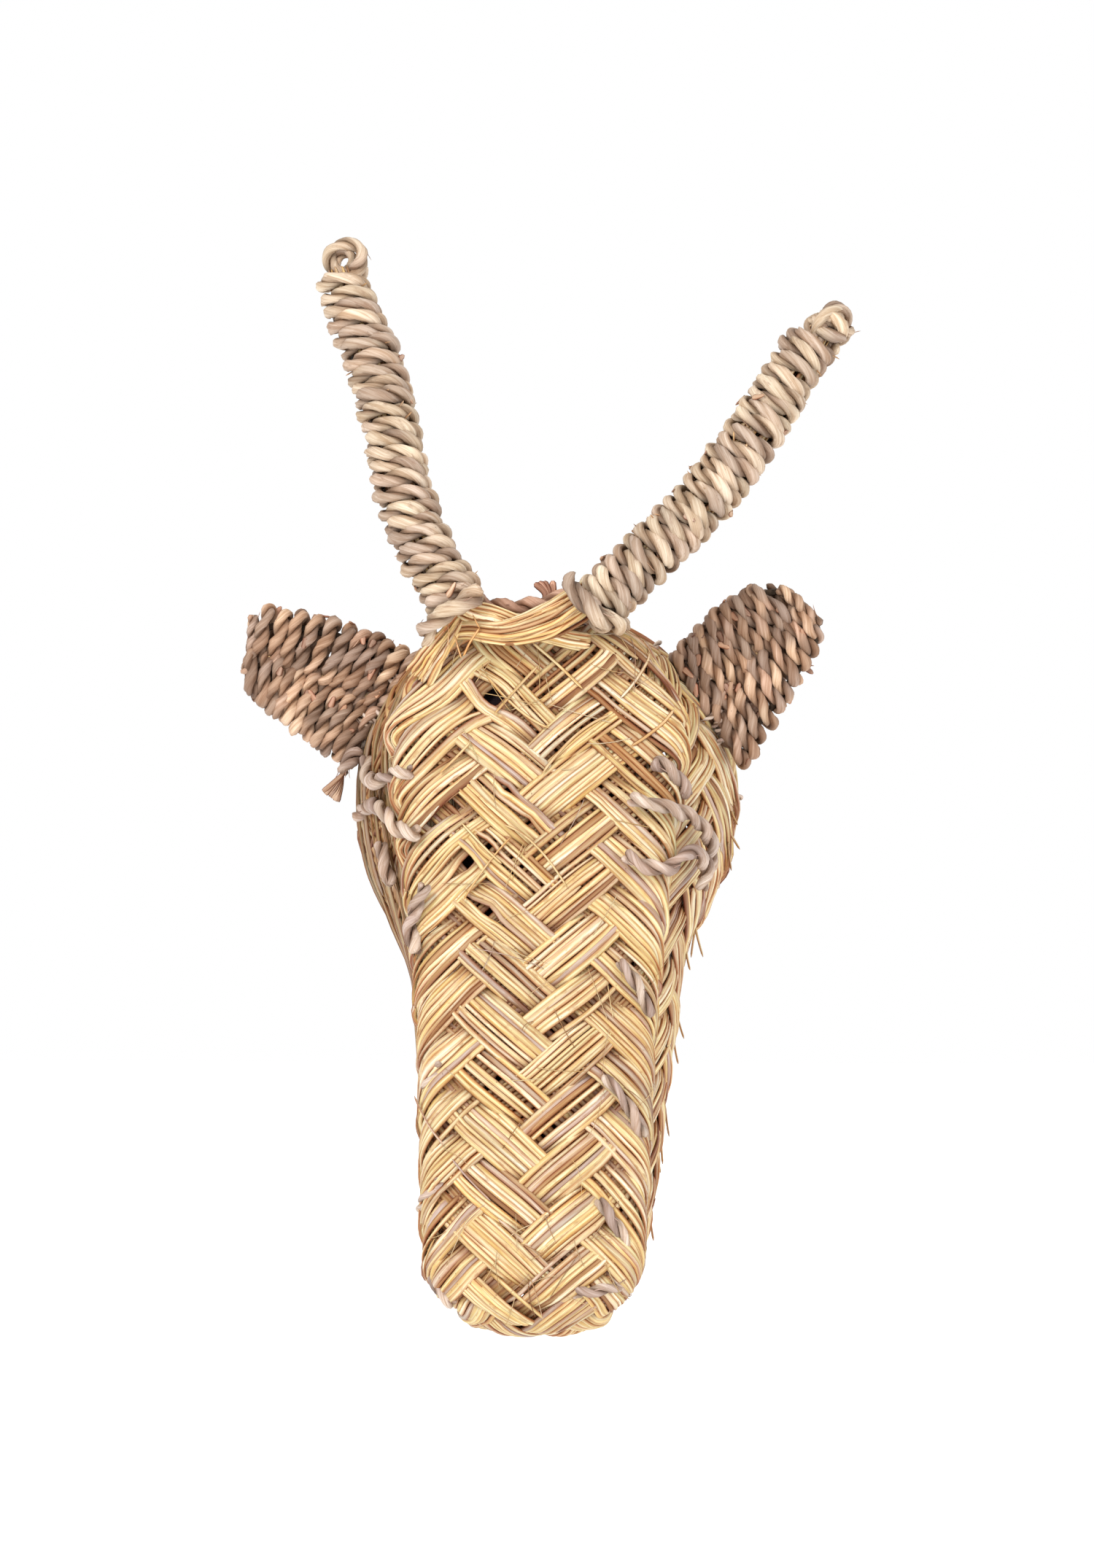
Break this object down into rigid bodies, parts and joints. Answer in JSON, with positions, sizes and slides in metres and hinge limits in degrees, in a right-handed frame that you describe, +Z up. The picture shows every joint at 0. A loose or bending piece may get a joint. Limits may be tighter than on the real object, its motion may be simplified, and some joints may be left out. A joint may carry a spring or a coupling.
{
  "type": "woven grass animal head wall decoration",
  "caption": "Hollow horned animal head plaited from grass, with rope-wrapped horns and hinged ears, hung on a wall by its neck rim.",
  "frame": {"origin": "highest point inside the neck rim, on the wall plane, where the rim hangs on a nail", "axes": "+X to the viewer's right as it hangs, +Y into the wall, +Z up"},
  "size_m": [0.2733, 0.1258, 0.4779],
  "materials": {
    "straw": "dry grass, semi-matte",
    "horn_rope": "twisted dry leaf, matte",
    "ear_rope": "twisted dry leaf, matte",
    "sewing_cord": "twisted dry leaf, matte",
    "wire": "dull drawn wire",
    "dark_cloth": "dark woven cloth, matte"
  },
  "bodies": {
    "head": {"face_braid": "straw", "left_side_braid": "straw", "right_side_braid": "straw", "jaw_braid": "straw", "crown_braid": "straw", "neck_rim": "straw", "stuffing": "dark_cloth", "left_horn_core": "straw", "right_horn_core": "straw", "left_horn_wire": "wire", "right_horn_wire": "wire", "left_horn_wrap": "horn_rope", "right_horn_wrap": "horn_rope", "left_horn_loop": "horn_rope", "right_horn_knot": "horn_rope", "left_horn_lashing": "horn_rope", "right_horn_lashing": "horn_rope", "horn_tie": "sewing_cord", "left_ear_hinge_cord": "sewing_cord", "right_ear_hinge_cord": "sewing_cord", "left_ear_anchors": "sewing_cord", "right_ear_anchors": "sewing_cord", "left_eye_cord": "sewing_cord", "right_eye_cord": "sewing_cord", "left_seam_stitches": "sewing_cord", "right_seam_stitches": "sewing_cord", "muzzle_stitches": "sewing_cord", "rim_stitches": "sewing_cord", "loose_cord_end": "sewing_cord"},
    "left_ear": {"left_ear_frame": "wire", "left_ear_rib": "straw", "left_ear_wrap": "ear_rope", "left_ear_ties": "sewing_cord"},
    "right_ear": {"right_ear_frame": "wire", "right_ear_rib": "straw", "right_ear_wrap": "ear_rope", "right_ear_ties": "sewing_cord"}
  },
  "joints": [
    {"name": "left_ear_fold", "type": "hinge", "parent": "head", "child": "left_ear", "pos_m": [-0.0715, -0.028, -0.03], "axis": [0.5075, 0, 0.8616], "range_deg": [-12, 30]},
    {"name": "right_ear_fold", "type": "hinge", "parent": "head", "child": "right_ear", "pos_m": [0.0715, -0.028, -0.03], "axis": [0.5075, 0, -0.8616], "range_deg": [-12, 30]}
  ]
}
